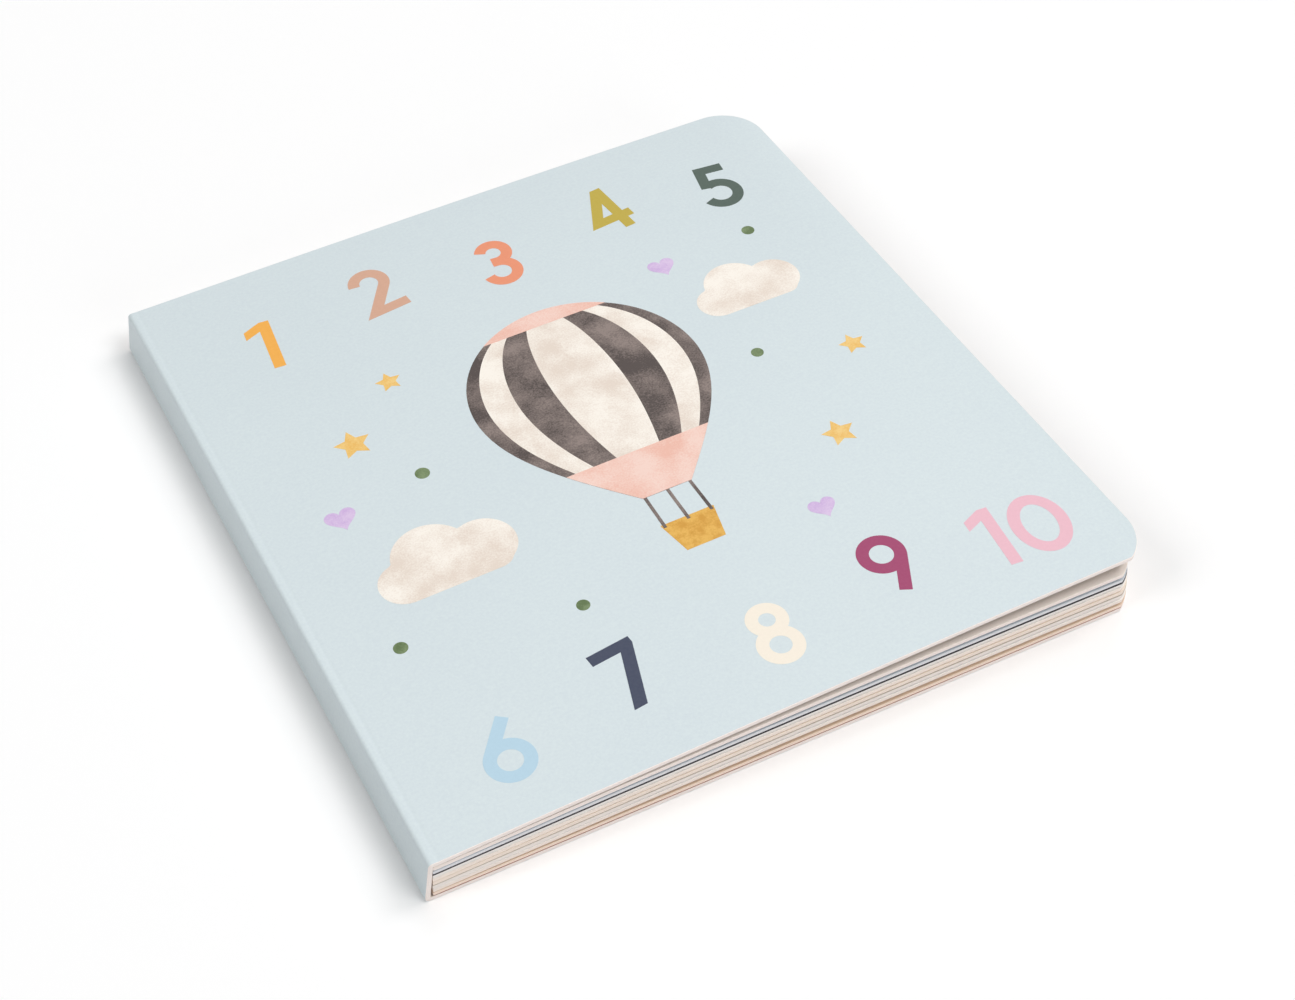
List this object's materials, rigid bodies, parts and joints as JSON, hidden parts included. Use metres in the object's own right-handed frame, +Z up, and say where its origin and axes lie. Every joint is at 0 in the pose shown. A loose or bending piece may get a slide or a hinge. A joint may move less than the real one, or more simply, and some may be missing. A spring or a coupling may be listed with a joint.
{
  "type": "baby book",
  "caption": "Board book for babies: thick card leaves bound at the spine in one folded cover card with rounded fore-edge corners; both covers open on hinges.",
  "frame": {"origin": "middle of the back cover's outer face, which lies on the table", "axes": "+X from the spine to the fore-edge, +Y from the tail to the head of the page, +Z up through the front cover"},
  "size_m": [0.1695, 0.18, 0.0173],
  "materials": {
    "cover_card": "pale blue print under a matt film, white cut edges",
    "page_board": "uncoated white board with printed faces, cut edges"
  },
  "bodies": {
    "back_board": {"back_cover": "cover_card"},
    "block": {"page_block": "page_board", "spine": "cover_card"},
    "front_board": {"front_cover": "cover_card"}
  },
  "joints": [
    {"name": "back_hinge", "type": "hinge", "parent": "back_board", "child": "block", "pos_m": [-0.084, 0, 0], "axis": [0, -1, 0], "range_deg": [0, 97]},
    {"name": "front_hinge", "type": "hinge", "parent": "block", "child": "front_board", "pos_m": [-0.0803, 0, 0.0113], "axis": [0, 1, 0], "range_deg": [-177, 0]}
  ]
}
